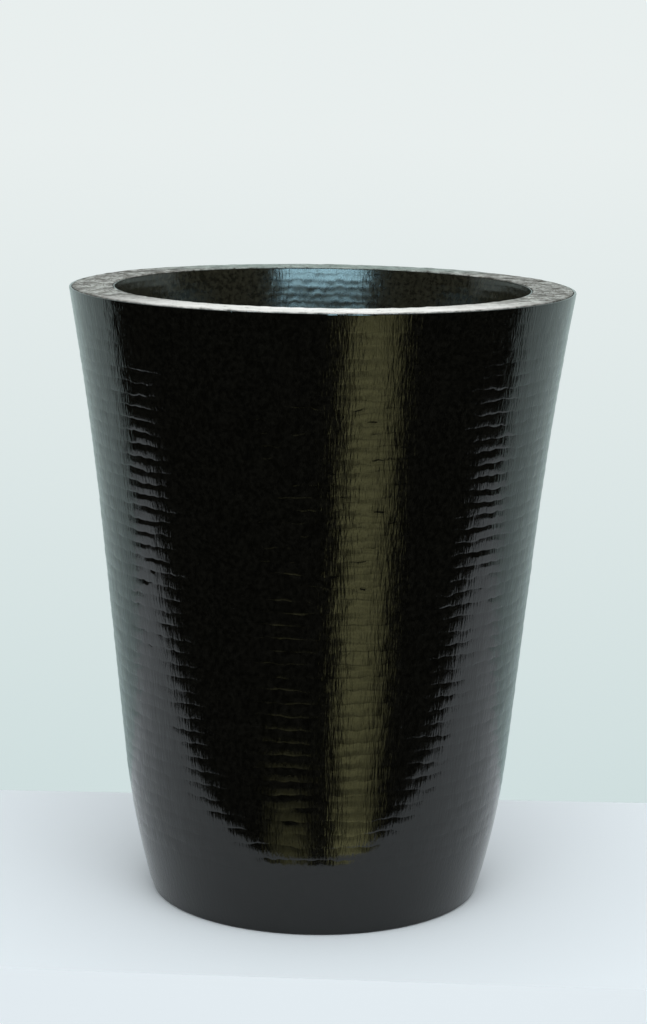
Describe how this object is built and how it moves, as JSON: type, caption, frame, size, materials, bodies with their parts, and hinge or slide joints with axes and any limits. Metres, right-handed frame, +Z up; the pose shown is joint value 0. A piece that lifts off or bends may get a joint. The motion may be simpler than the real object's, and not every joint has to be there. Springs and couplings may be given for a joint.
{
  "type": "tall round planter",
  "caption": "Tall round double-walled planter with a flared mouth, glossy hammered skin, flat grey rim ring, inner pot and a drain closed by a lift-out plug.",
  "frame": {"origin": "on the ground under the planter's axis", "axes": "+Z up along the planter's axis, from foot to mouth; X and Y are horizontal and equivalent"},
  "size_m": [0.4473, 0.4472, 0.55],
  "materials": {
    "skin": "high gloss near-black over a hammered surface of shallow courses",
    "rim": "bare matt grey, fibrous, with brown and dark specks",
    "pot": "gloss near-black with shallow hammered dents",
    "base": "matt black moulded",
    "plug": "matt black moulded rubber"
  },
  "bodies": {
    "planter": {"outer_shell": "skin", "rim_ring": "rim", "inner_pot": "pot", "base_plate": "base"},
    "plug": {"drain_plug": "plug"}
  },
  "joints": [
    {"name": "plug_lift", "type": "slide", "parent": "planter", "child": "plug", "axis": [0, 0, 1], "range_m": [0, 0.56]}
  ]
}
